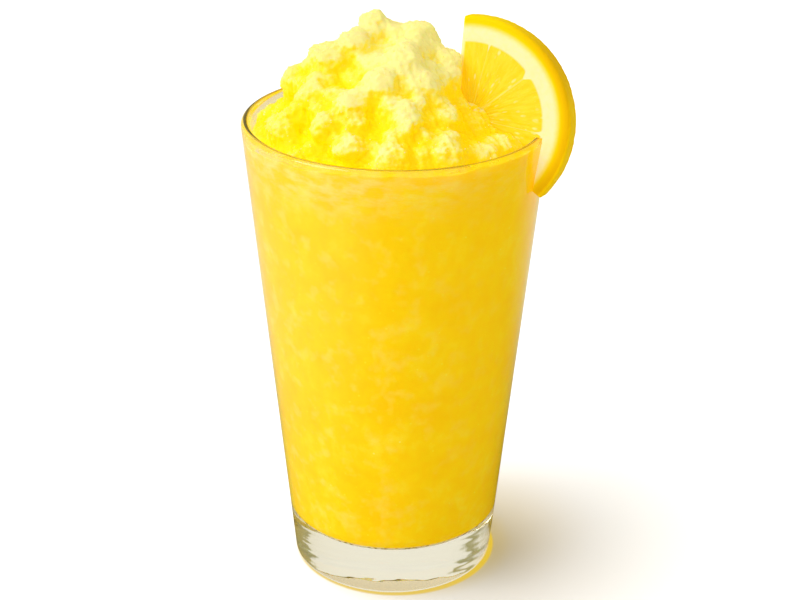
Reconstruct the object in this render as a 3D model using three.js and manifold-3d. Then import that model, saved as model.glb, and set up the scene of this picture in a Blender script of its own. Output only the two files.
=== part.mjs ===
// A tall conical glass of yellow slush, heaped above the rim in icy clumps, with a piece of a
// citrus slice slotted over the rim. Millimetres, +Z up. The origin is the middle of the flat
// underside of the glass, and the slice hangs on the +X side.
import * as THREE from 'three';
import { mergeVertices } from 'three/addons/utils/BufferGeometryUtils.js';
import Module from 'manifold-3d';

const wasm = await Module();
wasm.setup();

const CLEARANCE = 0.3; // between things that touch: slush and glass, slice and glass, slush and slice

const GLASS = {
  height: 141,
  rimRadius: 44, // outside
  footRadius: 30.4, // outside, where the cone would meet the table
  footRound: 1.6,
  rimWall: 2.6, // thickness of the wall at the rim, whose edge is a half round
  lowWall: 3.4, // thickness of the wall where the inside ends
  floor: 14.5, // thickness of the solid glass base
  floorRound: 5, // where the inside wall turns into the inside floor
  sides: 64,
};

const SLUSH = {
  level: 137, // where the slush leaves the wall, a little under the rim
  rise: 29, // of the heap's core over that level
  halfWidth: 23, // of the core, half way up
  skirt: 15.6, // how much wider the core is at the wall
  skirtRise: 8, // height over which the skirt fades
  sway: -4.5, // how far the core leans to -X half way up
  sides: 96,
  rows: 30, // from the wall to the top of the heap
  clumpSpacing: 7.8,
  clumpRadius: [4, 5.6],
  clumpDip: 2.2, // how deep a clump's middle sits under the core
  crag: 0.35, // height of the fine unevenness
  focus: 95, // height of the place that clumps are raised away from
  seed: 11,
};

// The larger clumps that make the outline of the heap and its front, placed by eye:
// turn about Z in degrees from +X, distance from the axis, height and radius.
const LARGE_CLUMPS = [
  [180, 6, 167.5, 4.8],
  [-16, 6.1, 165, 5.3],
  [-150, 13, 164, 5],
  [-158, 20, 160, 5.4],
  [-170, 27, 154, 5.2],
  [-19, 14.6, 158.8, 4.4],
  [-34, 17, 156, 4.2],
  [-80, 14, 161.5, 5.6],
  [-67, 20, 156.5, 5],
  [-102, 21, 156.5, 5.2],
  [-145, 26, 152, 5.4],
  [-116, 27, 152, 5.2],
  [-84, 29, 148.6, 5.4],
  [-123, 32, 146.6, 5],
  [-60, 27, 148.4, 4],
  [-152, 35, 142.6, 5],
  [-109, 35, 143, 4.8],
  [-91, 35, 141.4, 6.2],
  [-66, 35, 140.6, 5.8],
  [-48, 36, 139, 4],
];

const SLICE = {
  radius: 29.3,
  thickness: 6.5,
  turn: -22, // of its face about Z, in degrees from +X
  lean: 10, // of its face, backwards
  middle: [22.3, 142.9], // the fruit's middle on that face: distance from the axis, and height
  apex: [-4.4, -0.6], // the cut corner, from the fruit's middle: outwards, and upwards
  upperCut: 89, // directions of the two cuts from the apex, in degrees
  lowerCut: -34,
  arcSteps: 44,
  peelRound: 0.9, // the peel's rounded edges
};

const degrees = THREE.MathUtils.degToRad;

// Points along an arc about (x, z), in a profile.
function arc(x, z, radius, from, to, steps) {
  return Array.from({ length: steps + 1 }, (_, i) => {
    const angle = degrees(from + ((to - from) * i) / steps);
    return new THREE.Vector2(x + radius * Math.cos(angle), z + radius * Math.sin(angle));
  });
}

// A repeatable run of numbers from 0 to 1.
function randomRun(seed) {
  let state = seed;
  return () => {
    state = (state * 1664525 + 1013904223) % 4294967296;
    return state / 4294967296;
  };
}

// A geometry with its shared corners merged and its collapsed triangles dropped.
function welded(geometry) {
  geometry.deleteAttribute('normal');
  geometry.deleteAttribute('uv');
  const merged = mergeVertices(geometry, 1e-4);
  const corners = merged.index.array;
  const kept = [];
  for (let i = 0; i < corners.length; i += 3) {
    const [a, b, c] = corners.slice(i, i + 3);
    if (a !== b && b !== c && c !== a) kept.push(a, b, c);
  }
  merged.setIndex(kept);
  return merged;
}

function toSolid(geometry) {
  const merged = welded(geometry);
  return new wasm.Manifold(
    new wasm.Mesh({
      numProp: 3,
      vertProperties: new Float32Array(merged.attributes.position.array),
      triVerts: new Uint32Array(merged.index.array),
    }),
  );
}

function toGeometry(solid) {
  const mesh = solid.getMesh();
  const geometry = new THREE.BufferGeometry();
  geometry.setAttribute('position', new THREE.BufferAttribute(mesh.vertProperties, 3));
  geometry.setIndex(new THREE.BufferAttribute(mesh.triVerts, 1));
  geometry.computeVertexNormals();
  return geometry;
}

// A profile of (distance from the axis, height) turned about Z.
function turned(profile, sides) {
  return new THREE.LatheGeometry(profile, sides).rotateX(Math.PI / 2);
}

const outerRadius = (z) =>
  GLASS.footRadius + ((GLASS.rimRadius - GLASS.footRadius) * z) / GLASS.height;

function wallAt(z) {
  const share = (z - GLASS.floor) / (GLASS.height - GLASS.floor);
  return GLASS.lowWall + (GLASS.rimWall - GLASS.lowWall) * share;
}

const innerRadius = (z) => outerRadius(z) - wallAt(z);

// The inside's outline from the middle of its floor up the wall to a height, drawn in by a gap.
function insideOutline(top, gap) {
  const floor = GLASS.floor + gap;
  const round = GLASS.floorRound;
  const reach = innerRadius(floor + round) - gap;
  return [
    new THREE.Vector2(0, floor),
    ...arc(reach - round, floor + round, round, -90, 0, 5),
    new THREE.Vector2(innerRadius(top) - gap, top),
  ];
}

function glassGeometry() {
  const rimRound = GLASS.rimWall / 2;
  const rimHeight = GLASS.height - rimRound;
  const inside = insideOutline(rimHeight, 0);
  inside.pop();
  const profile = [
    new THREE.Vector2(0, 0),
    ...arc(outerRadius(GLASS.footRound) - GLASS.footRound, GLASS.footRound, GLASS.footRound, -90, 0, 4),
    ...arc(outerRadius(rimHeight) - rimRound, rimHeight, rimRound, 0, 180, 8),
    ...inside.reverse(),
  ];
  return toGeometry(toSolid(turned(profile, GLASS.sides)));
}

// The core's radius and its sideways sway at a height over the level.
const coreRadius = (h) =>
  SLUSH.halfWidth * Math.sqrt(Math.max(0, 1 - (h / SLUSH.rise) ** 2)) +
  SLUSH.skirt * Math.exp(-h / SLUSH.skirtRise);
const coreSway = (h) => SLUSH.sway * Math.sin((Math.PI * Math.max(0, h)) / SLUSH.rise);

const polar = (turn, out, height) =>
  new THREE.Vector3(out * Math.cos(turn), out * Math.sin(turn), height);

// The middles and radii of all clumps: the large ones, and others in rings up the core.
function clumps() {
  const random = randomRun(SLUSH.seed);
  const found = LARGE_CLUMPS.map(([turn, out, height, radius]) => ({
    middle: polar(degrees(turn), out, height),
    radius,
  }));
  const [least, most] = SLUSH.clumpRadius;
  for (let h = 1; h < SLUSH.rise; h += 0.7 * SLUSH.clumpSpacing) {
    const out = coreRadius(h) - SLUSH.clumpDip;
    const count = Math.round((2 * Math.PI * out) / SLUSH.clumpSpacing);
    const start = random();
    for (let i = 0; i < count; i += 1) {
      const turn = (2 * Math.PI * (i + start + 0.4 * random())) / count;
      const middle = polar(turn, out, SLUSH.level + h - SLUSH.clumpDip + 2 * random());
      middle.x += coreSway(h);
      const radius = least + (most - least) * random();
      const taken = found.some((other) => other.middle.distanceTo(middle) < 0.7 * (other.radius + radius));
      if (!taken) found.push({ middle, radius });
    }
  }
  return found;
}

// How far a ray from a place on the core runs until it leaves the last clump that it meets.
function clumpRise(place, direction, lumps) {
  const from = new THREE.Vector3();
  return lumps.reduce((furthest, { middle, radius }) => {
    from.subVectors(middle, place);
    const along = from.dot(direction);
    const inside = radius ** 2 - from.lengthSq() + along ** 2;
    return inside > 0 ? Math.max(furthest, along + Math.sqrt(inside)) : furthest;
  }, 0);
}

const cragAt = ({ x, y, z }) => SLUSH.crag * Math.sin(1.7 * x + z) * Math.sin(1.9 * y - z);

// A place on the core, moved away from the focus deep in the glass until it is out of every clump,
// but no further than the wall's clearance.
function raised(place, lumps) {
  const direction = place.clone().sub(new THREE.Vector3(0, 0, SLUSH.focus)).normalize();
  const outside = ({ x, y, z }) => Math.hypot(x, y) > innerRadius(z) - CLEARANCE;
  const end = new THREE.Vector3();
  let rise = clumpRise(place, direction, lumps) + cragAt(place);
  for (let i = 0; i < 12 && outside(end.copy(place).addScaledVector(direction, rise)); i += 1) {
    rise *= 0.6;
  }
  return outside(end) ? place : end;
}

// The fill of the glass and the heap on it: a smooth core, raised into clumps over the level.
function heapSolid() {
  const profile = insideOutline(SLUSH.level, CLEARANCE);
  for (let i = 1; i < SLUSH.rows; i += 1) {
    const h = SLUSH.rise * Math.sin((Math.PI * i) / 2 / SLUSH.rows);
    profile.push(new THREE.Vector2(coreRadius(h), SLUSH.level + h));
  }
  profile.push(new THREE.Vector2(0, SLUSH.level + SLUSH.rise));
  const geometry = turned(profile, SLUSH.sides);
  const places = geometry.attributes.position;
  const place = new THREE.Vector3();
  const lumps = clumps();
  for (let i = 0; i < places.count; i += 1) {
    place.fromBufferAttribute(places, i);
    const h = place.z - SLUSH.level;
    if (h > 0.01) {
      place.x += coreSway(h);
      const { x, y, z } = raised(place, lumps);
      places.setXYZ(i, x, y, z);
    }
  }
  return toSolid(geometry);
}

// The slice's own directions: outwards from the glass, up its face, and out of its face.
function sliceDirections() {
  const turn = degrees(SLICE.turn);
  const outwards = new THREE.Vector3(Math.cos(turn), Math.sin(turn), 0);
  const backwards = new THREE.Vector3(-Math.sin(turn), Math.cos(turn), 0);
  const upwards = new THREE.Vector3(0, 0, Math.cos(degrees(SLICE.lean)));
  upwards.addScaledVector(backwards, Math.sin(degrees(SLICE.lean)));
  return [outwards, upwards, new THREE.Vector3().crossVectors(outwards, upwards)];
}

// Where a cut from the apex meets the peel, as an angle about the fruit's middle.
function cutEnd(apex, direction, radius) {
  const along = new THREE.Vector2(Math.cos(degrees(direction)), Math.sin(degrees(direction)));
  const inward = apex.dot(along);
  const length = -inward + Math.sqrt(inward ** 2 - apex.lengthSq() + radius ** 2);
  const end = apex.clone().addScaledVector(along, length);
  return THREE.MathUtils.radToDeg(Math.atan2(end.y, end.x));
}

// The sector of the fruit between the two cuts, its faces drawn apart and its edges moved out by
// grow. Its peel is rounded towards both faces.
function sliceSolid(grow) {
  const middleCut = degrees((SLICE.upperCut + SLICE.lowerCut) / 2);
  const halfAngle = degrees((SLICE.upperCut - SLICE.lowerCut) / 2);
  const apexShift = grow / Math.sin(halfAngle);
  const apex = new THREE.Vector2(...SLICE.apex);
  apex.x -= apexShift * Math.cos(middleCut);
  apex.y -= apexShift * Math.sin(middleCut);
  const depth = SLICE.thickness + 2 * grow;
  const outline = (radius) => {
    const upper = cutEnd(apex, SLICE.upperCut, radius);
    const lower = cutEnd(apex, SLICE.lowerCut, radius);
    return [apex, ...arc(0, 0, radius, lower, upper, SLICE.arcSteps)];
  };
  const outer = SLICE.radius + grow;
  const layers = [
    [0, outer - SLICE.peelRound],
    [0.3 * SLICE.peelRound, outer - 0.3 * SLICE.peelRound],
    [SLICE.peelRound, outer],
    [depth - SLICE.peelRound, outer],
    [depth - 0.3 * SLICE.peelRound, outer - 0.3 * SLICE.peelRound],
    [depth, outer - SLICE.peelRound],
  ];
  const places = [];
  const triangles = [];
  layers.forEach(([height, radius]) => {
    outline(radius).forEach((point) => places.push(point.x, point.y, height));
  });
  const count = SLICE.arcSteps + 2;
  const top = (layers.length - 1) * count;
  for (let i = 0; i < count; i += 1) {
    const next = (i + 1) % count;
    for (let layer = 0; layer < layers.length - 1; layer += 1) {
      const low = layer * count;
      const high = low + count;
      triangles.push(low + i, low + next, high + next, low + i, high + next, high + i);
    }
    if (i > 0 && next > 0) triangles.push(0, next, i, top, top + i, top + next);
  }
  const geometry = new THREE.BufferGeometry();
  geometry.setAttribute('position', new THREE.Float32BufferAttribute(places, 3));
  geometry.setIndex(triangles);
  const [outwards, upwards, facing] = sliceDirections();
  const [out, height] = SLICE.middle;
  const place = outwards.clone().multiplyScalar(out);
  place.z += height;
  place.addScaledVector(facing, grow - depth);
  geometry.applyMatrix4(new THREE.Matrix4().makeBasis(outwards, upwards, facing).setPosition(place));
  return toSolid(geometry);
}

// The glass wall under the slice with its clearance, which makes the slot.
function slotSolid() {
  const low = GLASS.height / 2;
  const top = GLASS.height + CLEARANCE;
  const section = [
    [innerRadius(low) - CLEARANCE, low],
    [outerRadius(low) + CLEARANCE, low],
    [outerRadius(top) + CLEARANCE, top],
    [innerRadius(top) - CLEARANCE, top],
    [innerRadius(low) - CLEARANCE, low],
  ];
  return toSolid(turned(section.map(([out, z]) => new THREE.Vector2(out, z)), GLASS.sides));
}

// The slush without what the slice takes up, and without any scrap that the cut leaves loose.
function slushGeometry() {
  const bodies = heapSolid().subtract(sliceSolid(CLEARANCE)).decompose();
  return toGeometry(bodies.sort((a, b) => b.volume() - a.volume())[0]);
}

const sliceGeometry = () => toGeometry(sliceSolid(0).subtract(slotSolid()));

function piece(name, geometry, finish) {
  const mesh = new THREE.Mesh(geometry, new THREE.MeshStandardMaterial(finish));
  mesh.name = name;
  return mesh;
}

const group = new THREE.Group();
group.add(
  piece('glass', glassGeometry(), {
    color: 0xf4f6ea,
    roughness: 0.04,
    metalness: 0,
    transparent: true,
    opacity: 0.35,
  }),
  piece('slush', slushGeometry(), { color: 0xffdc14, roughness: 0.35, metalness: 0 }),
  piece('citrus_slice', sliceGeometry(), { color: 0xfad23c, roughness: 0.4, metalness: 0 }),
);

export default group;
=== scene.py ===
import math

import bmesh
import bpy
import numpy as np
from mathutils import Matrix, Vector, kdtree


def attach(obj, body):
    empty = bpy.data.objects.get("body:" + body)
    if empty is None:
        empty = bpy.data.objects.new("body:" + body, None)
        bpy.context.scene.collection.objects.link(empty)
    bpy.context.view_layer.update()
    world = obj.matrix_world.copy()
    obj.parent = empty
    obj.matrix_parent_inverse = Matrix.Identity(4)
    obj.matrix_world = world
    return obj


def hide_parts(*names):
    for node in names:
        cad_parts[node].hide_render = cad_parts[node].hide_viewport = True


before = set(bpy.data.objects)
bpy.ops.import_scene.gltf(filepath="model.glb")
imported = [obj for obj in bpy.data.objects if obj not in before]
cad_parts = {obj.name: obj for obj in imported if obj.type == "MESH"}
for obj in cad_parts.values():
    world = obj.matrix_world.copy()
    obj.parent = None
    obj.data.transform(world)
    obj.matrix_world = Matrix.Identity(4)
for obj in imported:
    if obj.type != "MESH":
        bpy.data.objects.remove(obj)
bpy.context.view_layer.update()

mm = 0.001
print("frame loaded")


# Shader maths

class Wire:  # an output socket that can be used in sums
    def __init__(self, shade, node, output):
        self.shade = shade
        self.node = node
        self.output = node.outputs[output] if len(node.outputs) else None

    def out(self, name):
        return Wire(self.shade, self.node, name)

    def __add__(self, other):
        return self.shade.maths("ADD", self, other)

    def __radd__(self, other):
        return self.shade.maths("ADD", other, self)

    def __sub__(self, other):
        return self.shade.maths("SUBTRACT", self, other)

    def __rsub__(self, other):
        return self.shade.maths("SUBTRACT", other, self)

    def __mul__(self, other):
        return self.shade.maths("MULTIPLY", self, other)

    def __rmul__(self, other):
        return self.shade.maths("MULTIPLY", other, self)

    def __truediv__(self, other):
        return self.shade.maths("DIVIDE", self, other)

    def __pow__(self, other):
        return self.shade.maths("POWER", self, other)

    def between(self, low, high):  # 0 under low to 1 over high, smoothly, or back if low is higher
        values = {"Value": self, "From Min": low, "From Max": high, "To Min": 0.0, "To Max": 1.0}
        return self.shade.node("ShaderNodeMapRange", {"interpolation_type": "SMOOTHSTEP"}, values)


class Shade:  # a material or world and its nodes
    def __init__(self, data):
        data.use_nodes = True
        self.data = data
        self.tree = data.node_tree
        self.tree.nodes.clear()

    def node(self, kind, settings=None, sockets=None, output=0):
        made = self.tree.nodes.new(kind)
        for key, value in (settings or {}).items():
            if key == "stops":
                self.setStops(made.color_ramp, value)
            else:
                setattr(made, key, value)
        for key, value in (sockets or {}).items():
            if isinstance(value, Wire):
                self.tree.links.new(value.output, made.inputs[key])
            else:
                made.inputs[key].default_value = value
        return Wire(self, made, output)

    def setStops(self, ramp, stops):
        while len(ramp.elements) < len(stops):
            ramp.elements.new(0.5)
        for element, (place, color) in zip(ramp.elements, stops):
            element.position = place
            element.color = (*color, 1)

    def maths(self, operation, *values):
        return self.node("ShaderNodeMath", {"operation": operation}, dict(enumerate(values)))

    def vectors(self, operation, first, second, output=0):
        return self.node("ShaderNodeVectorMath", {"operation": operation}, {0: first, 1: second}, output)

    def ramp(self, share, stops):
        return self.node("ShaderNodeValToRGB", {"stops": stops}, {"Fac": share})

    def blend(self, factor, first, second):  # of two colours
        sockets = {0: factor, 6: self.color(first), 7: self.color(second)}
        return self.node("ShaderNodeMix", {"data_type": "RGBA"}, sockets, 2)

    def color(self, value):
        return value if isinstance(value, Wire) or len(value) == 4 else (*value, 1)

    def place(self):  # the place on the object, in millimetres
        spot = self.node("ShaderNodeTexCoord", output="Object")
        return self.scaled(spot, (1 / mm, 1 / mm, 1 / mm))

    def scaled(self, vector, by):
        return self.vectors("MULTIPLY", vector, by)

    def along(self, vector, direction):
        return self.vectors("DOT_PRODUCT", vector, direction, "Value")

    def noise(self, vector, size, detail=2.0, rough=0.5):  # size in the vector's units
        sockets = {"Vector": vector, "Scale": 1 / size, "Detail": detail, "Roughness": rough}
        return self.node("ShaderNodeTexNoise", None, sockets)

    def cells(self, vector, size):  # distance to the nearest of many scattered points
        return self.node("ShaderNodeTexVoronoi", None, {"Vector": vector, "Scale": 1 / size})

    def bump(self, height, distance, strength=1.0):
        sockets = {"Height": height, "Distance": distance * mm, "Strength": strength}
        return self.node("ShaderNodeBump", None, sockets)

    def finish(self, surface):
        self.node("ShaderNodeOutputMaterial", None, {"Surface": surface})
        return self.data


def newShade(name):
    return Shade(bpy.data.materials.new(name))


# Mesh helpers

def makeObject(name, places, faces, material=None):
    mesh = bpy.data.meshes.new(name)
    mesh.from_pydata((np.asarray(places) * mm).tolist(), [], faces)
    mesh.validate()
    made = bpy.data.objects.new(name, mesh)
    bpy.context.collection.objects.link(made)
    if material:
        mesh.materials.append(material)
    return made


def ringAngles(columns):
    return np.arange(columns) * 2 * math.pi / columns


def ringPlaces(rows, columns):  # a ring of points round the axis for each (radius, height)
    x, y = np.cos(ringAngles(columns)), np.sin(ringAngles(columns))
    rings = [np.column_stack([radius * x, radius * y, np.full(columns, z)]) for radius, z in rows]
    return np.concatenate(rings)


def ringFaces(rows, columns, endless=False):  # quads between rings, and from the last to the first
    faces = []
    for row in range(rows if endless else rows - 1):
        low = row * columns
        high = (row + 1) % rows * columns
        for i in range(columns):
            j = (i + 1) % columns
            faces.append((low + i, low + j, high + j, high + i))
    return faces


def cappedFaces(rows, columns):  # quads, and fans to two points that follow the rings
    faces = ringFaces(rows, columns)
    bottom = rows * columns
    last = bottom - columns
    for i in range(columns):
        j = (i + 1) % columns
        faces.append((bottom, j, i))
        faces.append((bottom + 1, last + i, last + j))
    return faces


def turnedMesh(profile, columns):  # of (radius, height) points that start and end on the axis
    ends = [(0, 0, profile[0][1]), (0, 0, profile[-1][1])]
    places = np.concatenate([ringPlaces(profile[1:-1], columns), ends])
    return places, cappedFaces(len(profile) - 2, columns)


def arc(x, z, radius, start, end, steps):
    angles = np.radians(np.linspace(start, end, steps + 1))
    return [(x + radius * math.cos(a), z + radius * math.sin(a)) for a in angles]


def applyModifier(thing, kind, **settings):
    modifier = thing.modifiers.new(kind.lower(), kind)
    for key, value in settings.items():
        setattr(modifier, key, value)
    bpy.context.view_layer.update()
    made = bpy.data.meshes.new_from_object(thing.evaluated_get(bpy.context.evaluated_depsgraph_get()))
    thing.modifiers.clear()
    old = thing.data
    thing.data = made
    made.name = old.name
    bpy.data.meshes.remove(old)


def cutWith(thing, cutter, operation):
    applyModifier(thing, "BOOLEAN", operation=operation, object=cutter, solver="MANIFOLD")
    bpy.data.objects.remove(cutter)


def smoothed(thing, sharpDegrees):
    shape = bmesh.new()
    shape.from_mesh(thing.data)
    bmesh.ops.recalc_face_normals(shape, faces=shape.faces)
    limit = math.radians(sharpDegrees)
    for face in shape.faces:
        face.smooth = True
    for edge in shape.edges:
        edge.smooth = len(edge.link_faces) == 2 and edge.calc_face_angle(0) < limit
    shape.to_mesh(thing.data)
    shape.free()


def placesOf(mesh):
    places = np.empty(len(mesh.vertices) * 3)
    mesh.vertices.foreach_get("co", places)
    return places.reshape(-1, 3) / mm


def setPlaces(mesh, places):
    mesh.vertices.foreach_set("co", (places * mm).ravel())
    mesh.update()


def normalsOf(mesh):
    normals = np.empty(len(mesh.vertices) * 3)
    mesh.vertices.foreach_get("normal", normals)
    return normals.reshape(-1, 3)


def wear(thing, node):
    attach(thing, "root")
    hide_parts(node)


# Camera, from the photograph's rim and foot

cameraSet = {
    "place": (0, -478.4, 304.8),
    "lookingDown": 24.79,  # degrees
    "roll": 0.36,  # degrees
    "focal": 79.85,
    "shift": 0.006,
}


def addCamera():
    data = bpy.data.cameras.new("camera")
    data.lens = cameraSet["focal"]
    data.sensor_width = 36
    data.shift_x = cameraSet["shift"]
    data.clip_start = 0.01
    camera = bpy.data.objects.new("camera", data)
    tilt = Matrix.Rotation(math.radians(90 - cameraSet["lookingDown"]), 4, "X")
    roll = Matrix.Rotation(math.radians(cameraSet["roll"]), 4, "Z")
    camera.matrix_world = Matrix.Translation(Vector(cameraSet["place"]) * mm) @ tilt @ roll
    bpy.context.collection.objects.link(camera)
    bpy.context.scene.camera = camera


# Stage and light

lightSet = {
    "sky": (0.54, 0.74),  # right and left, as it lights the object
    "skyColor": (1.0, 0.965, 0.88),
    "mirrored": ((0.42, 0.33, 0.06), (0.82, 0.8, 0.66)),  # right and left, as it shows in the glass
    "through": ((0.38, 0.35, 0.17), (0.9, 0.86, 0.72)),  # dark panels and the rest, through glass
    "seen": (1.03, 1.03, 1.03),  # as the camera sees it
    "panels": ((0.6, 0.75), (0.72, 1.3)),  # edges of the right and left one, as sines of a turn from +Y
    "panelSoft": (0.04, 0.1),  # half widths of their inner and outer edges
    "panelSlant": (6, 0.55),  # how fast they lean together with height, and where the edges hold
    "panelStreaks": (0.2, 0.07, 3),  # how far the edges wander, how fine and how detailed
    "key": 1.35,
    "keyFrom": (-0.85, -0.42, 0.8),
    "keyAngle": 40,  # degrees across, as a large soft box
    "keyColor": (1.0, 0.985, 0.95),
    "floorKey": 3.4,  # a lamp for the floor alone, so that it is pure white around the shadow
    "floorKeyFrom": (-0.3, 0.1, 1.0),
    "floorKeyColor": (0.97, 0.985, 1.0),
    "floorReach": 6000,
    "floorMottle": (0.02, 40),  # how much, and millimetres across
    "floorAlbedo": (0.71, 0.38),  # as seen, and as it lights the object
    "floorMirrored": (0.13, 0.1, 0.02),  # in reflections, in front and to the right
    "floorPale": (0.38, 0.36, 0.32),  # and on the other sides
    "paleLeft": (-5, -180),  # where the floor turns pale in reflections, along X
    "paleBehind": (30, 220),  # and along Y
    "clearBehind": (0, 45),  # the same for what shows through the glass
    "clearTone": (0.41, 0.36, 0.25),  # and how pale it is there
    "frontTone": (0.3, 0.26, 0.15),  # and in front
    "glow": (0.8, 0.55, 0.05),  # painted light: the floor glows with the light that the slush would let through onto it under the glass
    "glowDiscs": (  # middle, where it starts and ends to fade, share
        ((0.8, 0, 0), (30.4, 31.5), 0.74),
        ((2.6, 0.8, 0), (30, 36.5), 0.15),
        # this one warms the shadow to the right with painted light
        ((22, 14, 0), (10, 46), 0.2),
    ),
    "under": -0.05,  # height of the floor, just under the foot
}


def addLamp(name, strength, color, toward, angle):
    data = bpy.data.lights.new(name, "SUN")
    data.energy = strength
    data.angle = math.radians(angle)
    data.color = color
    lamp = bpy.data.objects.new(name, data)
    lamp.rotation_euler = Vector(toward).to_track_quat("Z", "Y").to_euler()
    bpy.context.collection.objects.link(lamp)
    return lamp


def addFloor():
    shade = newShade("white_floor")
    seen, lighting = lightSet["floorAlbedo"]
    mottle, across = lightSet["floorMottle"]
    spot = shade.place()
    ray = shade.node("ShaderNodeLightPath", output="Is Diffuse Ray")
    tone = (seen + (lighting - seen) * ray) * (1 - mottle / 2 + mottle * shade.noise(spot, across))
    color = shade.node("ShaderNodeCombineColor", None, {0: tone, 1: tone, 2: tone})
    start, end = lightSet["paleLeft"]
    back = shade.along(spot, (0, 1, 0))
    refracted = ray.out("Is Transmission Ray")
    behind = back.between(*lightSet["paleBehind"]) * (1 - refracted)
    behind = behind + back.between(*lightSet["clearBehind"]) * refracted
    front = shade.along(spot, (1, 0, 0)).between(end, start) * (1 - behind)
    mirrored = ray.out("Is Glossy Ray")
    color = shade.blend(mirrored, color, lightSet["floorPale"])
    color = shade.blend(refracted, color, lightSet["clearTone"])
    olive = shade.blend(refracted, lightSet["floorMirrored"], lightSet["frontTone"])
    color = shade.blend(front * mirrored, color, olive)
    sheet = shade.node("ShaderNodeBsdfDiffuse", None, {"Color": color})
    # painted light: the floor glows in discs round the foot and in the shadow
    glow = shade.node("ShaderNodeEmission", None, {"Color": (*lightSet["glow"], 1)})
    under = 0.0
    for middle, (start, end), share in lightSet["glowDiscs"]:
        away = shade.vectors("DISTANCE", spot, middle, "Value")
        under = (1 - away.between(start, end)) * share + under
    sheet = shade.node("ShaderNodeMixShader", None, {0: under, 1: sheet, 2: glow})
    far = lightSet["floorReach"]
    z = lightSet["under"]
    corners = [(-far, -far, z), (far, -far, z), (far, far, z), (-far, far, z)]
    floor = makeObject("floor", corners, [(0, 1, 2, 3)], shade.finish(sheet))
    return floor


def addSky():
    world = Shade(bpy.data.worlds.new("studio"))
    bpy.context.scene.world = world.data
    direction = world.node("ShaderNodeTexCoord", output="Generated")
    across = world.along(direction, (-1, 0, 0))
    ray = world.node("ShaderNodeLightPath", output="Is Camera Ray")
    right, left = lightSet["sky"]
    strength = right + (left - right) * across.between(-1, 1)
    red, green, blue = lightSet["skyColor"]
    sockets = {0: strength * red, 1: strength * green, 2: strength * blue}
    color = world.node("ShaderNodeCombineColor", None, sockets)
    mirrored = world.blend(across.between(-0.2, 0.9), *lightSet["mirrored"])
    color = world.blend(ray.out("Is Glossy Ray"), color, mirrored)
    dark, rest = lightSet["through"]
    forward = world.along(direction, (0, 1, 0))
    turn = world.maths("ABSOLUTE", across)
    turn = turn / (across * across + forward * forward) ** 0.5
    slant, height = lightSet["panelSlant"]
    turn = turn + slant * (world.along(direction, (0, 0, 1)) - height)
    wander, size, detail = lightSet["panelStreaks"]
    turn = turn + wander * (world.noise(direction, size, detail) - 0.5)
    (low, high), (leftLow, leftHigh) = lightSet["panels"]
    atLeft = 1 - across.between(-0.2, 0)
    inner = turn - (leftLow - low) * atLeft
    outer = turn - (leftHigh - high) * atLeft
    soft, outerSoft = lightSet["panelSoft"]
    panel = inner.between(low - soft, low + soft)
    panel = panel * (1 - outer.between(high - outerSoft, high + outerSoft))
    through = world.blend(panel * forward.between(0, 0.1), rest, dark)
    color = world.blend(ray.out("Is Transmission Ray"), color, through)
    color = world.blend(ray, color, lightSet["seen"])
    light = world.node("ShaderNodeBackground", None, {"Color": color})
    world.node("ShaderNodeOutputWorld", None, {"Surface": light})


def addStage():
    floor = addFloor()
    addSky()
    angle = lightSet["keyAngle"]
    addLamp("key", lightSet["key"], lightSet["keyColor"], lightSet["keyFrom"], angle)
    only = bpy.data.collections.new("floor_only")
    only.objects.link(floor)
    color = lightSet["floorKeyColor"]
    second = addLamp("floor_key", lightSet["floorKey"], color, lightSet["floorKeyFrom"], angle)
    second.light_linking.receiver_collection = only
    view = bpy.context.scene.view_settings
    view.view_transform = "Standard"
    view.look = "None"


# Glass

glassSet = {
    "height": 141,
    "rimRadius": 44,
    "footRadius": 30.4,
    "footRound": 1.6,
    "rimWall": 2.6,  # thickness of the wall at the rim
    "lowWall": 3.4,  # and where the inside ends
    "floor": 14.5,  # thickness of the solid base
    "floorRound": 5,  # where the inside wall turns into the inside floor
    "standRing": 0.6,  # width of the flat ring that it stands on
    "hollow": 0.02,  # of the underside, at its middle
    "rimLine": 0.1,  # how far down the top of the rim is painted dark: painted shade where it bends the light most
    "paintedRimShade": (0.4, 0.32, 0.08),
    "unevenness": 0.014,  # of the moulded base, inside and underneath
    "underMore": 1.6,  # how much higher the underside is on average, in the same measure
    "tone": (0.985, 0.99, 0.97),
    "openTone": (0.97, 0.97, 0.95),  # for the rays that it lets straight through
    "smudge": 0.03,
    "wave": (22, 0.02),  # of the surface, as bump: millimetres across, and high
    "columns": 256,
}


def outerRadius(z):
    spread = glassSet["rimRadius"] - glassSet["footRadius"]
    return glassSet["footRadius"] + spread * z / glassSet["height"]


def innerRadius(z):
    share = (z - glassSet["floor"]) / (glassSet["height"] - glassSet["floor"])
    return outerRadius(z) - glassSet["lowWall"] - (glassSet["rimWall"] - glassSet["lowWall"]) * share


def insideOutline(gap):  # from the middle of the inside floor to the start of the wall
    z = glassSet["floor"] + gap
    radius = glassSet["floorRound"]
    reach = innerRadius(z + radius) - gap
    return [(0, z), (0.5 * (reach - radius), z)] + arc(reach - radius, z + radius, radius, -90, 0, 16)


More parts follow.
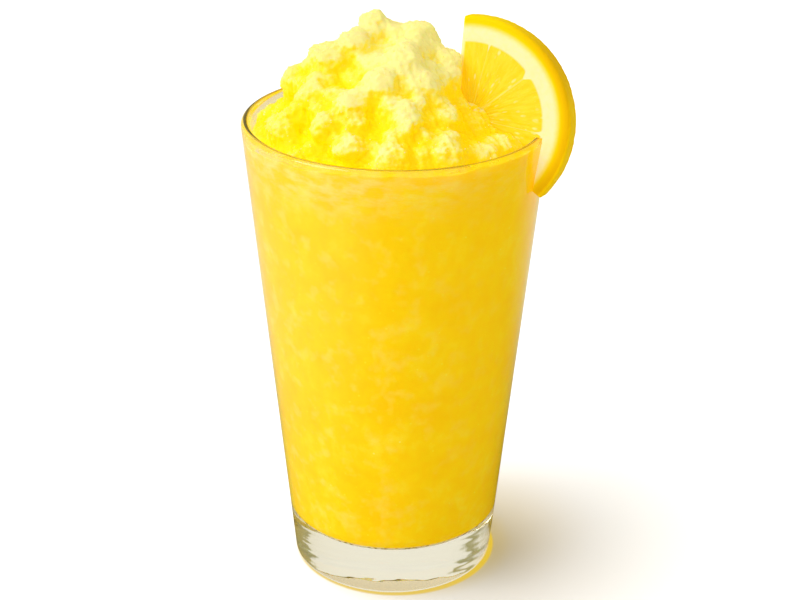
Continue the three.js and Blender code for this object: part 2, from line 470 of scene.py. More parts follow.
def glassMaterial():
    shade = newShade("clear_glass")
    spot = shade.place()
    size, depth = glassSet["wave"]
    wave = shade.bump(shade.noise(spot, size, 1), depth)
    smudge = shade.noise(spot, 9, 3).between(0.55, 0.8) * glassSet["smudge"]
    # painted shade: a dark band at the top of the rim
    line = shade.along(spot, (0, 0, 1)) - (glassSet["height"] - glassSet["rimLine"])
    clear = shade.node("ShaderNodeBsdfPrincipled", None, {
        "Base Color": shade.blend(line.between(-0.03, 0.03), glassSet["tone"], glassSet["paintedRimShade"]),
        "Roughness": smudge,
        "IOR": 1.5,
        "Transmission Weight": 1.0,
        "Normal": wave,
    })
    open_ = shade.node("ShaderNodeBsdfTransparent", None, {"Color": (*glassSet["openTone"], 1)})
    ray = shade.node("ShaderNodeLightPath", output="Is Shadow Ray")
    deep = ray.out("Glossy Depth").between(2.5, 3.5)  # from the third reflection on
    through = (ray + ray.out("Is Diffuse Ray") + deep).between(0, 1)
    return shade.finish(shade.node("ShaderNodeMixShader", None, {0: through, 1: clear, 2: open_}))


def addGlass():
    rimRound = glassSet["rimWall"] / 2
    rimHeight = glassSet["height"] - rimRound
    round_ = glassSet["footRound"]
    footReach = outerRadius(round_) - round_
    flat = footReach - glassSet["standRing"]
    hollow = glassSet["hollow"]
    profile = [(share * flat, hollow * (1 - share ** 2)) for share in np.linspace(0, 1, 30)]
    profile += arc(footReach, round_, round_, -90, 0, 8)
    for share in np.linspace(0.05, 0.95, 19):
        z = round_ + share * (rimHeight - round_)
        profile.append((outerRadius(z), z))
    profile += arc(outerRadius(rimHeight) - rimRound, rimHeight, rimRound, 0, 180, 16)
    wallFoot = glassSet["floor"] + glassSet["floorRound"]
    for share in np.linspace(0.95, 0.05, 19):
        z = wallFoot + share * (rimHeight - wallFoot)
        profile.append((innerRadius(z), z))
    profile += insideOutline(0)[::-1]
    places, faces = turnedMesh(profile, glassSet["columns"])
    out = np.hypot(places[:, 0], places[:, 1])
    moulded = np.clip((footReach - out) / 3, 0, 1) * (places[:, 2] < wallFoot)
    wave = waveField(places * (1, 1, 0.1), 16, 21, 3)
    wave += np.where(places[:, 2] < glassSet["floor"] / 2, glassSet["underMore"], 0)
    places[:, 2] += moulded * glassSet["unevenness"] * wave
    glass = makeObject("tumbler", places, faces, glassMaterial())
    smoothed(glass, 60)
    wear(glass, "glass")


# The slush

slushSet = {
    "level": 137,  # where the core of the heap starts
    "rise": 29,  # how high the core is
    "halfWidth": 23,  # of its dome
    "skirt": 15.6,  # how much wider it spreads at its foot
    "skirtRise": 8,  # the height over which that fades
    "sway": -4.5,  # how far it leans along X half way up
    "clumpSpacing": 7.8,
    "clumpRadius": (4, 5.6),
    "clumpDip": 2.2,  # how deep the clumps sit in the core
    "clumpUneven": 0.17,
    "clumpApart": 0.7,  # least distance of two, in sums of their radii
    "seed": 11,
    "underGap": 0.1,  # between the fill and the inside floor, which shines like a mirror from below
    "press": 0.15,  # how far it reaches into the wall, so that no air gap shows
    "voxel": 0.49,  # cells of the grid that joins the clumps into one skin
    "floorOfHeap": 128,  # its underside, hidden inside the fill
    "fillerDip": 1.3,  # how much deeper the smaller clumps between two neighbours sit
    "fillerReach": 1.45,  # how far apart such neighbours are, in sums of their radii
    "fillerSize": 0.45,  # in the same measure
    "lumps": 3,  # small lumps on each clump
    "lumpSize": (0.28, 0.46),  # in radii of the clump
    "lumpOut": (0.6, 0.76),  # how far out they sit, in the same measure
    "melt": 12,  # rounds of smoothing that fuse the clumps
    "relief": ((4.2, 0.33, 1), (1.8, 0.17, 2)),  # waves over the clumps: size, depth and seed
    "grit": (1.05, 0.3, 0.1),  # bumps over the clumps: spacing, height, and how deep they are sunk
    "brim": 138.9,  # where the fill leaves the wall, on average
    "brimDip": (2.4, 172),  # how much lower that is at one side, and at what turn in degrees
    "ripples": ((7, 0.2, 1), (13, 0.14, 2), (23, 0.1, 0)),  # of the brim: waves round it, height, phase
    "glow": 0.42,  # painted light: the slush glows, standing in for light that comes back out of the ice
    "tips": (120, 1.3, 0.55),  # rounds of smoothing they stand out from, how far, and level share
    "drainedAndLit": (-0.5, -0.15, 0.85),  # towards the sides of the clumps that the syrup has left, tilted to the key lamp: painted light that makes the lit sides paler
    "drainedAndLitShare": (0.42, 0.68),  # across that direction, and how much more along it
    "heapNoise": ((9, 0.4), (0.9, 0.5)),  # uneven tones: millimetres across, and how much
    "paintedLightTop": (144, 168),  # heights over which the heap is painted paler, more on its right, away from the key lamp: painted light
    "paintedShadeLeft": (-30, -8),  # where it is painted deeper yellow, along X: painted shade on the side the key lamp lights
    "heapTones": (  # from wet hollows to tips the syrup has left; the pale end is also painted light on the sides that face the lamp
        (0.0, (0.96, 0.68, 0.0)),
        (0.3, (0.95, 0.71, 0.0)),
        (0.65, (0.94, 0.79, 0.1)),
        (1.0, (0.94, 0.86, 0.36)),
    ),
    # painted light from hollows to tips, strongest in the hollows where it lifts their shade
    "heapGlow": ((0.9, 0.54, 0.0), (0.42, 0.35, 0.04)),
    # colour of the painted shade on the left
    "paintedShadeTone": (0.9, 0.7, 0.0),
    "fillTones": (  # from syrup to packed ice
        (0.0, (1.0, 0.62, 0.0)),
        (0.5, (1.0, 0.69, 0.003)),
        (0.8, (1.0, 0.76, 0.03)),
        (1.0, (1.0, 0.84, 0.15)),
    ),
    # painted light of the fill, from syrup to packed ice
    "fillGlow": ((0.71, 0.32, 0.0), (0.71, 0.37, 0.0)),
    "wispTone": (1.0, 0.92, 0.5),  # of drawn-out pale streaks near the top, denser on the lit left side: partly painted light
    "dappleTone": (1.0, 0.84, 0.24),
    "footGlintShadeTones": ((0.92, 0.88, 0.66), (0.24, 0.2, 0.06)),  # of the speckled line at the foot: pale specks as painted glints, dark ones as painted shade
    "footGlow": (0.1, 0.09, 0.05),
    "grains": 1500,
    "grainRadius": (0.1, 0.22),
    "grainTones": ((1.0, 0.8, 0.2), (1.0, 0.88, 0.5)),
    # painted light: the grains glow a little
    "grainGlow": 0.2,
}

# Turn about Z in degrees from +X, distance from the axis, height and radius
largeClumps = [
    (180, 6, 167.5, 4.8), (-16, 6.1, 165, 5.3), (-150, 13, 164, 5), (-158, 20, 160, 5.4),
    (-170, 27, 154, 5.2), (-19, 14.6, 158.8, 4.4), (-34, 17, 156, 4.2), (-80, 14, 161.5, 5.6),
    (-67, 20, 156.5, 5), (-102, 21, 156.5, 5.2), (-145, 26, 152, 5.4), (-116, 27, 152, 5.2),
    (-84, 29, 148.6, 5.4), (-123, 32, 146.6, 5), (-60, 27, 148.4, 4), (-152, 35, 142.6, 5),
    (-109, 35, 143, 4.8), (-91, 35, 141.4, 6.2), (-66, 35, 140.6, 5.8), (-48, 36, 139, 4),
]


def randomRun(seed):
    state = seed
    while True:
        state = (state * 1664525 + 1013904223) % 4294967296
        yield state / 4294967296


def coreRadius(h):
    dome = slushSet["halfWidth"] * math.sqrt(max(0, 1 - (h / slushSet["rise"]) ** 2))
    return dome + slushSet["skirt"] * math.exp(-h / slushSet["skirtRise"])


def coreSway(h):
    return slushSet["sway"] * math.sin(math.pi * max(0, h) / slushSet["rise"])


def polar(turn, out, height):
    return np.array([out * math.cos(turn), out * math.sin(turn), height])


def findClumps():
    draw = randomRun(slushSet["seed"])
    found = [(polar(math.radians(turn), out, z), radius) for turn, out, z, radius in largeClumps]
    least, most = slushSet["clumpRadius"]
    apart = slushSet["clumpApart"]
    h = 1.0
    while h < slushSet["rise"]:
        out = coreRadius(h) - slushSet["clumpDip"]
        count = math.floor(2 * math.pi * out / slushSet["clumpSpacing"] + 0.5)
        start = next(draw)
        for i in range(count):
            turn = 2 * math.pi * (i + start + 0.4 * next(draw)) / count
            middle = polar(turn, out, slushSet["level"] + h - slushSet["clumpDip"] + 2 * next(draw))
            middle[0] += coreSway(h)
            radius = least + (most - least) * next(draw)
            clear = all(np.linalg.norm(other - middle) >= apart * (size + radius) for other, size in found)
            if clear:
                found.append((middle, radius))
        h += 0.7 * slushSet["clumpSpacing"]
    return found


def ballMesh(subdivisions):
    shape = bmesh.new()
    bmesh.ops.create_icosphere(shape, subdivisions=subdivisions, radius=1)
    places = np.array([vertex.co[:] for vertex in shape.verts])
    faces = np.array([[vertex.index for vertex in face.verts] for face in shape.faces])
    shape.free()
    return places, faces


def waveField(places, size, seed, octaves):  # smooth unevenness, mostly from -1 to 1
    chance = np.random.default_rng(seed)
    total = np.zeros(len(places))
    for octave in range(octaves):
        for _ in range(6):
            direction = chance.normal(size=3)
            direction /= np.linalg.norm(direction)
            phase = chance.random() * 2 * math.pi
            turn = places @ direction * (2 * math.pi * 2 ** octave / size)
            total += np.sin(turn + phase) / 2 ** octave / 6
    return total * 1.6


def fillersBetween(clumps):  # smaller clumps, sunk between neighbours, so that the heap is one mass
    found = []
    for i, (first, radius) in enumerate(clumps):
        for second, other in clumps[:i]:
            distance = np.linalg.norm(first - second)
            if distance < slushSet["fillerReach"] * (radius + other):
                middle = (first + second) / 2
                inward = np.array([-middle[0], -middle[1], slushSet["level"] - 20 - middle[2]])
                middle = middle + inward / np.linalg.norm(inward) * slushSet["fillerDip"]
                found.append((middle, slushSet["fillerSize"] * (radius + other)))
    return found


def heapBody():
    profile = [(0, slushSet["floorOfHeap"])]
    profile.append((innerRadius(slushSet["floorOfHeap"]), slushSet["floorOfHeap"]))
    profile.append((innerRadius(slushSet["level"]), slushSet["level"]))
    steps = 28
    for i in range(1, steps):
        h = slushSet["rise"] * math.sin(math.pi * i / 2 / steps)
        profile.append((coreRadius(h), slushSet["level"] + h))
    profile.append((0, slushSet["level"] + slushSet["rise"]))
    places, faces = turnedMesh(profile, 96)
    places[:, 0] += [coreSway(z - slushSet["level"]) for z in places[:, 2]]
    clumps = findClumps()
    clumps += fillersBetween(clumps)
    allPlaces, allFaces = [places], list(faces)
    chance = np.random.default_rng(slushSet["seed"])
    ball, ballFaces = ballMesh(3)
    small, smallFaces = ballMesh(2)
    count = len(places)
    for number, (middle, radius) in enumerate(clumps):
        size = radius * chance.uniform(0.88, 1.08, 3)
        uneven = 1 + slushSet["clumpUneven"] * waveField(ball, 1.9, 100 + number, 2)
        allPlaces.append(ball * size * uneven[:, None] + middle)
        allFaces += (ballFaces + count).tolist()
        count += len(ball)
        for _ in range(slushSet["lumps"]):
            toward = chance.normal(size=3)
            toward /= np.linalg.norm(toward)
            lump = radius * chance.uniform(*slushSet["lumpSize"])
            spot = middle + toward * (radius * chance.uniform(*slushSet["lumpOut"]))
            allPlaces.append(small * lump * chance.uniform(0.85, 1.15, 3) + spot)
            allFaces += (smallFaces + count).tolist()
            count += len(small)
    heap = makeObject("slush_heap", np.concatenate(allPlaces), allFaces)
    applyModifier(heap, "REMESH", mode="VOXEL", voxel_size=slushSet["voxel"] * mm)
    return heap


def grainField(places, spacing, seed):  # rounded bumps a spacing apart: 1 on each top, 0 between
    chance = np.random.default_rng(seed)
    low = places.min(0) - spacing
    high = places.max(0) + spacing
    counts = np.ceil((high - low) / spacing).astype(int)
    jitter = chance.random((*counts, 3))
    cell = np.floor((places - low) / spacing).astype(int)
    nearest = np.full(len(places), 9.0)
    for dx in (-1, 0, 1):
        for dy in (-1, 0, 1):
            for dz in (-1, 0, 1):
                near = np.clip(cell + (dx, dy, dz), 0, counts - 1)
                middle = low + (near + jitter[near[:, 0], near[:, 1], near[:, 2]]) * spacing
                nearest = np.minimum(nearest, ((places - middle) ** 2).sum(1))
    return np.clip(1 - nearest / (0.55 * spacing ** 2), 0, 1)


def relaxed(mesh, rounds):  # the places after some rounds of smoothing
    places = placesOf(mesh)
    edges = np.empty(len(mesh.edges) * 2, dtype=int)
    mesh.edges.foreach_get("vertices", edges)
    ends = edges.reshape(-1, 2)
    first, second = np.concatenate([ends, ends[:, ::-1]]).T
    neighbours = np.maximum(np.bincount(first, minlength=len(places)), 1)[:, None]
    for _ in range(rounds):
        sums = [np.bincount(first, places[second, axis], len(places)) for axis in range(3)]
        places = np.stack(sums, 1) / neighbours
    return places


def roughen(heap):
    setPlaces(heap.data, relaxed(heap.data, slushSet["melt"]))
    for size, depth, seed in slushSet["relief"]:
        places = placesOf(heap.data)
        push = depth * waveField(places, size, seed, 2)
        setPlaces(heap.data, places + normalsOf(heap.data) * push[:, None])
    spacing, height, sunk = slushSet["grit"]
    places = placesOf(heap.data)
    push = height * grainField(places, spacing, 3) - sunk
    setPlaces(heap.data, places + normalsOf(heap.data) * push[:, None])


def pressToWall(mesh, slack):  # keeps what is inside the glass within its wall
    places = placesOf(mesh)
    out = np.hypot(places[:, 0], places[:, 1])
    most = np.array([innerRadius(z) for z in places[:, 2]]) + slack
    factor = np.where(out > most, most / np.maximum(out, 1e-6), 1)
    places[:, :2] *= factor[:, None]
    setPlaces(mesh, places)


def markTips(mesh):  # a point attribute: 1 on raised tips that the syrup has left and that face the key lamp (painted light), 0 in hollows
    rounds, depth, level = slushSet["tips"]
    across, more = slushSet["drainedAndLitShare"]
    normals = normalsOf(mesh)
    rise = ((placesOf(mesh) - relaxed(mesh, rounds)) * normals).sum(1)
    raised = np.clip(level + rise / depth / 2, 0, 1)
    drainedAndLit = np.clip(across + more * normals @ slushSet["drainedAndLit"], 0, 1)
    mesh.attributes.new("tip", "FLOAT", "POINT").data.foreach_set("value", raised * drainedAndLit)


def slushSurface(shade, color, roughness, shine, glow, height, distance):
    return shade.node("ShaderNodeBsdfPrincipled", None, {
        "Base Color": color,
        "Roughness": roughness,
        "IOR": 1.33,
        "Specular IOR Level": shine,
        "Subsurface Weight": 0.7,
        "Subsurface Radius": (1.0, 0.62, 0.14),
        "Subsurface Scale": 2.2 * mm,
        "Emission Color": glow,
        "Emission Strength": slushSet["glow"],
        "Normal": shade.bump(height, distance, 0.6),
    })


def heapMaterial():
    shade = newShade("slush_heaped")
    spot = shade.place()
    tip = shade.node("ShaderNodeAttribute", {"attribute_name": "tip"}, None, "Fac")
    (patchSize, patchShare), (fineSize, fineShare) = slushSet["heapNoise"]
    patch = shade.noise(spot, patchSize, 3)
    fine = shade.noise(spot, fineSize, 2)
    across = shade.along(spot, (1, 0, 0))
    # painted light: paler towards the top, and more so on the right, where the key lamp leaves it in shade
    high = shade.along(spot, (0, 0, 1)).between(*slushSet["paintedLightTop"])
    high = high * (0.4 + 0.4 * across.between(-15, 10))
    # painted shade on the left, where the key lamp falls: less pale, and blended towards a deeper yellow
    left = 1 - across.between(*slushSet["paintedShadeLeft"])
    share = tip - 0.06 + patchShare * (patch - 0.5) + fineShare * (fine - 0.5) - 0.22 * left
    share = (share + high).between(0, 1)
    color = shade.blend(0.3 * left, shade.ramp(share, slushSet["heapTones"]), slushSet["paintedShadeTone"])
    # painted light, more in the hollows than on the tips
    glow = shade.blend(share, *slushSet["heapGlow"])
    height = (1 - shade.cells(spot, 0.6)) + 0.5 * shade.noise(spot, 0.3, 1)
    return shade.finish(slushSurface(shade, color, 0.3 + 0.3 * fine, 0.3, glow, height, 0.1))


def grainMaterial():
    shade = newShade("ice_grain")
    pale = shade.noise(shade.place(), 2).between(0.3, 0.7)
    color = shade.blend(pale, *slushSet["grainTones"])
    return shade.finish(shade.node("ShaderNodeBsdfPrincipled", None, {
        "Base Color": color,
        "Roughness": 0.15 + 0.15 * pale,
        "IOR": 1.31,
        "Emission Color": color,
        "Emission Strength": slushSet["grainGlow"],
    }))


def fillMaterial():
    shade = newShade("slush_behind_glass")
    spot = shade.place()
    soft = shade.noise(spot, 13, 3, 0.55)
    small = shade.noise(spot, 3.2, 3, 0.6)
    speck = shade.cells(spot, 3.4).between(0.13, 0.05)
    share = (0.42 + 0.9 * (soft - 0.5) + 0.45 * (small - 0.5) + 0.22 * speck).between(0, 1)
    color = shade.ramp(share, slushSet["fillTones"])
    wisp = shade.noise(shade.scaled(spot, (1, 1, 2.4)), 6, 3, 0.6).between(0.34, 0.74)
    height = shade.along(spot, (0, 0, 1))
    high = height.between(122, 137)
    # 1 towards the left, the side the key lamp lights: the pale wisps and dapples gather there as painted
    # light
    left = shade.along(spot, (-1, 0, 0)).between(-30, 25)
    color = shade.blend(wisp * high * (0.12 + 0.4 * left), color, slushSet["wispTone"])
    # pale dapples, also denser on the lit left side: partly painted light
    dapple = shade.noise(spot, 4.8, 2, 0.5).between(0.48, 0.76)
    color = shade.blend(dapple * (0.08 + 0.26 * left), color, slushSet["dappleTone"])
    # painted light of the fill
    glow = shade.blend(share, *slushSet["fillGlow"])
    # painted glints and painted shade in a speckled line at the foot, where the painted glow is also
    # turned down
    foot = glassSet["floor"]
    edge = 1 - height.between(foot + 1.0, foot + 2.0)
    specks = shade.noise(spot, 1.4, 2).between(0.5, 0.6)
    color = shade.blend(edge, color, shade.blend(specks, *slushSet["footGlintShadeTones"]))
    glow = shade.blend(edge, glow, slushSet["footGlow"])
    return shade.finish(slushSurface(shade, color, 0.5 + 0.2 * small, 0.1, glow, small, 0.3))


def addFill():
    press = slushSet["press"] + 0.1
    foot = insideOutline(-press)
    start = foot[-1][1]
    lift = press + slushSet["underGap"]
    foot = [(r, z + lift * max(0, 1 - i / (0.6 * len(foot)))) for i, (r, z) in enumerate(foot)]
    top = slushSet["brim"]
    profile = list(foot)
    for share in np.linspace(0.02, 1, 60):
        z = start + share * (top - start)
        profile.append((innerRadius(z) + press, z))
    profile += [(innerRadius(top) - 0.5, top + 0.1), (innerRadius(top) - 4, top - 1.2), (0, top - 3)]
    columns = glassSet["columns"]
    places, faces = turnedMesh(profile, columns)
    turn = np.arctan2(places[:, 1], places[:, 0])
    dip, side = slushSet["brimDip"]
    left = np.clip(np.cos(turn - math.radians(side)), 0, 1) ** 1.5
    ripple = sum(height * np.sin(waves * turn + phase) for waves, height, phase in slushSet["ripples"])
    share = np.clip((places[:, 2] - start) / (top - start), 0, 1) ** 12
    places[:, 2] += share * (ripple - dip * left)
    out = np.hypot(places[:, 0], places[:, 1])
    onWall = (out > innerRadius(start) - 0.5) & (places[:, 2] > start)
    onWall &= np.arange(len(places)) < (len(profile) - 4) * columns
    wall = np.array([innerRadius(z) for z in places[:, 2]]) + press
    places[:, :2] *= np.where(onWall, wall / out.clip(1), 1)[:, None]
    fill = makeObject("slush_fill", places, faces, fillMaterial())
    smoothed(fill, 50)
    wear(fill, "slush")


def addHeap():
    heap = heapBody()
    roughen(heap)
    pressToWall(heap.data, slushSet["press"])
    cutWith(heap, sliceCutter(0.12), "DIFFERENCE")
    markTips(heap.data)
    heap.data.materials.clear()
    heap.data.materials.append(heapMaterial())
    for face in heap.data.polygons:
        face.use_smooth = True
    wear(heap, "slush")
    print("heap", len(heap.data.polygons))
    return heap


def addGrains(heap):
    chance = np.random.default_rng(5)
    mesh = heap.data
    mesh.calc_loop_triangles()
    count = len(mesh.loop_triangles)
    corners = np.empty(count * 3, dtype=int)
    mesh.loop_triangles.foreach_get("vertices", corners)
    triangles = corners.reshape(-1, 3)
    corners = placesOf(mesh)[triangles]
    normals = np.cross(corners[:, 1] - corners[:, 0], corners[:, 2] - corners[:, 0])
    areas = np.linalg.norm(normals, axis=1) / 2
    normals /= np.maximum(areas * 2, 1e-9)[:, None]
    middles = corners.mean(1)
    out = np.hypot(middles[:, 0], middles[:, 1])
    open_ = (middles[:, 2] > slushSet["level"] + 1) & (normals[:, 2] > -0.3)
    open_ &= out < innerRadius(slushSet["level"]) - 1.2
    open_ &= ~insideSlice(middles, 0.9)
    tips = np.empty(len(mesh.vertices))
    mesh.attributes["tip"].data.foreach_get("value", tips)
    weights = np.where(open_, areas, 0) * tips[triangles].mean(1) ** 3
    picks = chance.choice(count, slushSet["grains"], p=weights / weights.sum())
    ball, ballFaces = ballMesh(1)
    allPlaces, allFaces = [], []
    for number, pick in enumerate(picks):
        least, most = slushSet["grainRadius"]
        radius = least + (most - least) * chance.random() ** 2
        shape = ball * (1 + 0.25 * chance.normal(size=(len(ball), 1))) * chance.uniform(0.8, 1.2, 3)
        allPlaces.append(shape * radius + middles[pick] + normals[pick] * radius * 0.35)
        allFaces += (ballFaces + number * len(ball)).tolist()
    grains = makeObject("ice_grains", np.concatenate(allPlaces), allFaces, grainMaterial())
    wear(grains, "slush")


# Citrus slice

sliceSet = {
    "radius": 29.3,
    "thickness": 6.5,
    "turn": -22,  # degrees about the glass's axis, from +X
    "lean": 10,  # degrees backwards
    "middle": (22.3, 142.9),  # of the fruit: out from the glass's axis, and up
    "apex": (-4.4, -0.6),  # where the two cuts meet, from the fruit's middle
    "upperCut": 89,  # directions of the cuts, in degrees
    "lowerCut": -34,
    "peelRound": 0.9,
    "fleshRadius": 21.2,
    "pithRadius": 25.3,
    "patternRise": 1.0,  # the flesh is not quite in the middle of the rind
    "membranes": (-5, 41, 79, 121, 168, 213, 262, 311),  # degrees about the fruit's middle
    "firmness": (0.45, 1, 0.22, 1, 1, 1, 1, 1),  # how wide each membrane is
    "thickPith": (2.6, -12, -24),  # more pith towards the lower cut: depth, and from and to what angle
    "notch": (1.9, 0.9),  # of pith between two segments: depth, and half its width
    "sacSize": (3.6, 0.95),  # of a juice sac: length and width
    "sacRadius": 13,  # how far from the middle a sac is that wide
    "sacCount": 900,
    "sacRelief": (0.26, 0.24),  # how high the sacs are, and how deep they are sunk
    "fleshTones": ((0.98, 0.7, 0.01), (0.98, 0.77, 0.04)),
    "streakTone": (1.0, 0.84, 0.2),
    "membraneTone": (1.0, 0.88, 0.4),
    "coreTone": (1.0, 0.85, 0.35),
    "sacGlintTone": (1.0, 0.89, 0.42),  # of pale spots in the sacs, painted glints
    "cutHighlightTone": (1.0, 0.93, 0.6),  # a painted highlight along the upper cut
    "pithTones": ((0.97, 0.85, 0.42), (0.97, 0.89, 0.52)),
    "innerRind": (1.0, 0.76, 0.0),
    "rindShadeTones": ((0.95, 0.68, 0.0), (0.78, 0.46, 0.0)),  # towards the middle of the glass, and outwards, where it is painted darker: painted shade
    # painted light on the peel's side, which faces away from the lamps
    "peelSideLitTone": (0.93, 0.6, 0.0),
    # painted light: the flesh, pith and rind glow a little
    "fleshGlow": (0.9, 0.63, 0.0),
    "skinGlow": ((1.0, 0.86, 0.45), (1.0, 0.56, 0.0)),  # of pith and rind, painted light
    "glow": 0.16,
    "slotGap": -0.08,  # it presses into the wall a little, so that no air gap shows
    "columns": 540,
    "seed": 4,
}


def sliceFrame():
    turn = math.radians(sliceSet["turn"])
    lean = math.radians(sliceSet["lean"])
    outwards = np.array([math.cos(turn), math.sin(turn), 0])
    backwards = np.array([-math.sin(turn), math.cos(turn), 0])
    upwards = math.sin(lean) * backwards + np.array([0, 0, math.cos(lean)])
    facing = np.cross(outwards, upwards)
    out, height = sliceSet["middle"]
    return outwards * out + np.array([0, 0, height]), outwards, upwards, facing


def ownPlaces(places):  # from the fruit's own directions to the frame's
    middle, outwards, upwards, facing = sliceFrame()
    places = np.asarray(places, dtype=float)
    return middle + places[:, :1] * outwards + places[:, 1:2] * upwards + places[:, 2:] * facing


def fruitPlaces(places):  # and back
    middle, outwards, upwards, facing = sliceFrame()
    return (places - middle) @ np.stack([outwards, upwards, facing], 1)


def wedge(grow, low, high):  # between the two cuts, moved out by grow
    middleCut = math.radians((sliceSet["upperCut"] + sliceSet["lowerCut"]) / 2)
    halfAngle = math.radians((sliceSet["upperCut"] - sliceSet["lowerCut"]) / 2)
    shift = grow / math.sin(halfAngle)
    u = sliceSet["apex"][0] - shift * math.cos(middleCut)
    v = sliceSet["apex"][1] - shift * math.sin(middleCut)
    far = 70
    outline = [(u, v)]
    for angle in np.linspace(sliceSet["lowerCut"], sliceSet["upperCut"], 5):
        a = math.radians(angle)
        outline.append((u + far * math.cos(a), v + far * math.sin(a)))
    count = len(outline)
    places = [(x, y, low) for x, y in outline] + [(x, y, high) for x, y in outline]
    faces = [tuple(range(count))[::-1], tuple(range(count, 2 * count))]
    for i in range(count):
        j = (i + 1) % count
        faces.append((i, j, j + count, i + count))
    return ownPlaces(places), faces


def insideSlice(places, grow):
    u, v, w = fruitPlaces(places).T
    inside = np.hypot(u, v) < sliceSet["radius"] + grow
    inside &= (w < grow) & (w > -sliceSet["thickness"] - grow)
    for side, angle in ((1, sliceSet["upperCut"]), (-1, sliceSet["lowerCut"])):
        a = math.radians(angle)
        off = (v - sliceSet["apex"][1]) * math.cos(a) - (u - sliceSet["apex"][0]) * math.sin(a)
        inside &= side * off < grow
    return inside


def sliceCutter(grow):  # the space the slice takes in the slush
    radius = sliceSet["radius"] + grow
    back = -sliceSet["thickness"] - grow
    places, faces = turnedMesh([(0, back), (radius, back), (radius, grow), (0, grow)], 180)
    disc = makeObject("cutter", ownPlaces(places), faces)
    cutWith(disc, makeObject("wedge", *wedge(grow, -60, 60)), "INTERSECT")
    return disc


def membraneGap(angle, radius):  # distance along the arc to the nearest membrane
    places = np.radians(np.array(sliceSet["membranes"]))
    off = np.abs((angle[:, None] - places + math.pi) % (2 * math.pi) - math.pi)
    return (off / sliceSet["firmness"]).min(1) * radius


def fleshEdge(gap, angle):
    depth, width = sliceSet["notch"]
    more, start, end = sliceSet["thickPith"]
    low = np.degrees((angle + math.pi) % (2 * math.pi) - math.pi)
    thick = np.clip((low - start) / (end - start), 0, 1) * more
    return sliceSet["fleshRadius"] - depth * np.exp(-(gap / width) ** 2) - thick


def faceRelief(radius, angle, seed):  # juice sacs: long drops that point at the middle
    chance = np.random.default_rng(seed)
    longSide, shortSide = sliceSet["sacSize"]
    meanRadius = sliceSet["sacRadius"]
    tree = kdtree.KDTree(sliceSet["sacCount"])
    for _ in range(sliceSet["sacCount"]):
        r = sliceSet["fleshRadius"] * math.sqrt(chance.uniform(0.01, 1))
        a = 2 * math.pi * chance.random()
        tree.insert((r / longSide, a * meanRadius / shortSide, 0), 0)
    tree.balance()
    x, y = radius * np.cos(angle), radius * np.sin(angle) - sliceSet["patternRise"]
    radius, angle = np.hypot(x, y), np.arctan2(y, x)
    gap = membraneGap(angle, radius)
    flesh = np.clip((fleshEdge(gap, angle) - radius) / 0.6, 0, 1) * np.clip((gap - 0.15) / 0.35, 0, 1)
    spots = zip(radius / longSide, (angle % (2 * math.pi)) * meanRadius / shortSide)
    cells = np.array([tree.find((x, y, 0))[2] for x, y in spots])
    height, sunk = sliceSet["sacRelief"]
    return flesh * (height * np.clip(1 - cells ** 2, -0.6, 1) - sunk)


def sliceBody():
    columns = sliceSet["columns"]
    angles = ringAngles(columns)
    round_ = sliceSet["peelRound"]
    thick = sliceSet["thickness"]
    radius = sliceSet["radius"]
    seed = sliceSet["seed"]
    flat = np.linspace(0.35, radius - round_, 78)
    rows = [(r, -thick - faceRelief(r, angles, seed + 1)) for r in flat]
    rows += arc(radius - round_, -thick + round_, round_, -90, 0, 5)[1:]
    rows += [(radius, z) for z in np.linspace(-thick + round_, -round_, 12)[1:-1]]
    rows += arc(radius - round_, -round_, round_, 0, 90, 5)[:-1]
    rows += [(r, faceRelief(r, angles, seed)) for r in flat[::-1]]
    places = np.concatenate([ringPlaces(rows, columns), [(0, 0, -thick), (0, 0, 0)]])
    peel = np.hypot(places[:, 0], places[:, 1]) > radius - 1.2
    pores = grainField(places, 1.5, 8)
    pull = np.where(peel, 1 - 0.0045 * (1 - pores), 1)
    places[:, :2] *= pull[:, None]
    return makeObject("citrus_slice_cut", ownPlaces(places), cappedFaces(len(rows), columns))


def slotCutter():  # a ring in the place of the upper wall
    low = glassSet["height"] / 2
    gap = sliceSet["slotGap"]
    top = glassSet["height"] + gap
    profile = [
        (innerRadius(low) - gap, low),
        (outerRadius(low) + gap, low),
        (outerRadius(top) + gap, top),
        (innerRadius(top) - gap, top),
    ]
    columns = glassSet["columns"]
    return makeObject("slot", ringPlaces(profile, columns), ringFaces(len(profile), columns, True))


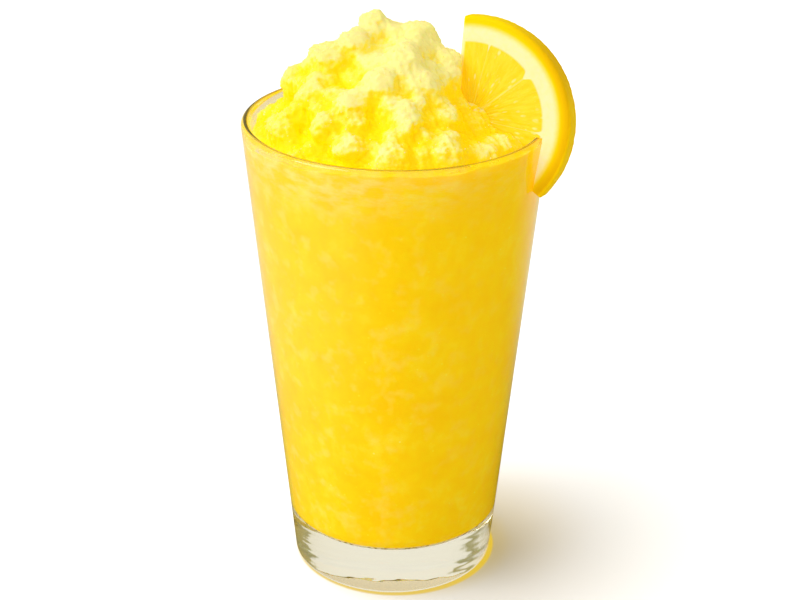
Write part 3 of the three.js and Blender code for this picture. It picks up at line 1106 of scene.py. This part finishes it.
def citrusMaterial():
    shade = newShade("citrus")
    middle, outwards, upwards, facing = sliceFrame()
    spot = shade.place()
    own = shade.vectors("SUBTRACT", spot, middle.tolist())
    u = shade.along(own, outwards.tolist())
    v = shade.along(own, upwards.tolist()) - sliceSet["patternRise"]
    w = shade.along(own, facing.tolist())
    radius = (u * u + v * v) ** 0.5
    angle = shade.maths("ARCTAN2", v, u)
    gap = 99.0
    for membrane, firmness in zip(sliceSet["membranes"], sliceSet["firmness"]):
        if -60 < membrane < 130:  # the others are cut away
            off = shade.maths("ABSOLUTE", angle - math.radians(membrane))
            gap = shade.maths("MINIMUM", off * radius * (1 / firmness), gap)
    depth, width = sliceSet["notch"]
    notch = shade.maths("EXPONENT", -1 * (gap / width) ** 2)
    more, start, end = sliceSet["thickPith"]
    thick = 1 - angle.between(math.radians(end), math.radians(start))
    edge = sliceSet["fleshRadius"] - depth * notch - more * thick
    streakPlace = shade.node("ShaderNodeCombineXYZ", None, {0: radius * 0.22, 1: angle * 14, 2: w * 0.3})
    streak = shade.noise(streakPlace, 1, 2)
    fineStreak = shade.noise(streakPlace, 0.3, 2)
    grain = shade.noise(spot, 1.3, 3)
    flesh = shade.blend(streak.between(0.3, 0.7), *sliceSet["fleshTones"])
    flesh = shade.blend(fineStreak.between(0.6, 0.8) * 0.5, flesh, sliceSet["streakTone"])
    core = 1 - radius.between(1.2, 2.6)
    membrane = (1 - gap.between(0.1, 0.32)) * radius.between(2, 8)
    flesh = shade.blend(membrane * 0.42, flesh, sliceSet["membraneTone"])
    flesh = shade.blend(core * 0.5, flesh, sliceSet["coreTone"])
    sacPlace = shade.node("ShaderNodeCombineXYZ", None, {0: radius * 0.3, 1: angle * 12, 2: w * 0.3})
    # painted glints: pale spots in the middle of some sacs
    sacGlint = (1 - shade.cells(sacPlace, 1).between(0.12, 0.34)) * shade.noise(spot, 5).between(0.45, 0.6)
    flesh = shade.blend(sacGlint * 0.85, flesh, sliceSet["sacGlintTone"])
    a = math.radians(sliceSet["upperCut"])
    apexU, apexV = sliceSet["apex"]
    fromCut = (u - apexU) * math.sin(a) - (v + sliceSet["patternRise"] - apexV) * math.cos(a)
    # painted highlight along the upper cut
    flesh = shade.blend((1 - fromCut.between(0.4, 1.2)) * 0.95, flesh, sliceSet["cutHighlightTone"])
    pith = shade.blend(grain.between(0.3, 0.7), *sliceSet["pithTones"])
    # painted shade: the rind darkens to gold away from the glass's middle, as if less lit
    rindShadedOutwards = shade.blend(u.between(4, 25), *sliceSet["rindShadeTones"])
    rind = shade.blend(radius.between(25, 28.4), sliceSet["innerRind"], rindShadedOutwards)
    # painted light: the peel's side is lighter, though it faces away from the lamps
    rind = shade.blend(radius.between(28.6, 29.1), rind, sliceSet["peelSideLitTone"])
    outsidePith = radius.between(sliceSet["pithRadius"] - 1.0, sliceSet["pithRadius"] + 1.2)
    skin = shade.blend(outsidePith, pith, rind)
    # painted light of the pith and rind
    skinGlow = shade.blend(outsidePith, *sliceSet["skinGlow"])
    outsideFlesh = (radius - edge).between(-0.35, 0.35)
    color = shade.blend(outsideFlesh, flesh, skin)
    wet = 0.12 + 0.2 * streak
    pores = shade.cells(spot, 1.1).between(0.0, 0.5)
    height = 0.5 * fineStreak * (1 - outsideFlesh) + 0.5 * pores * radius.between(28.8, 29.3)
    body = shade.node("ShaderNodeBsdfPrincipled", None, {
        "Base Color": color,
        "Roughness": wet * (1 - outsideFlesh) + (0.55 + 0.2 * grain) * outsideFlesh,
        "IOR": 1.38,
        "Specular IOR Level": 0.08,
        "Coat Weight": 0.5 * (1 - outsideFlesh),
        "Coat Roughness": 0.12,
        "Subsurface Weight": 0.5,
        "Subsurface Radius": (1.0, 0.8, 0.3),
        "Subsurface Scale": 1.2 * mm,
        # painted light
        "Emission Color": shade.blend(outsideFlesh, sliceSet["fleshGlow"], skinGlow),
        "Emission Strength": sliceSet["glow"],
        "Normal": shade.bump(height, 0.25, 0.6),
    })
    return shade.finish(body)


def addSlice():
    piece = sliceBody()
    cutWith(piece, makeObject("wedge", *wedge(0, -60, 60)), "INTERSECT")
    cutWith(piece, slotCutter(), "DIFFERENCE")
    piece.data.materials.clear()
    piece.data.materials.append(citrusMaterial())
    smoothed(piece, 45)
    piece.name = "lemon_slice"
    wear(piece, "citrus_slice")
    print("slice", len(piece.data.polygons))


addCamera()
addStage()
print("camera and stage")
addGlass()
print("glass")
addFill()
addGrains(addHeap())
print("slush")
addSlice()
print("citrus slice")
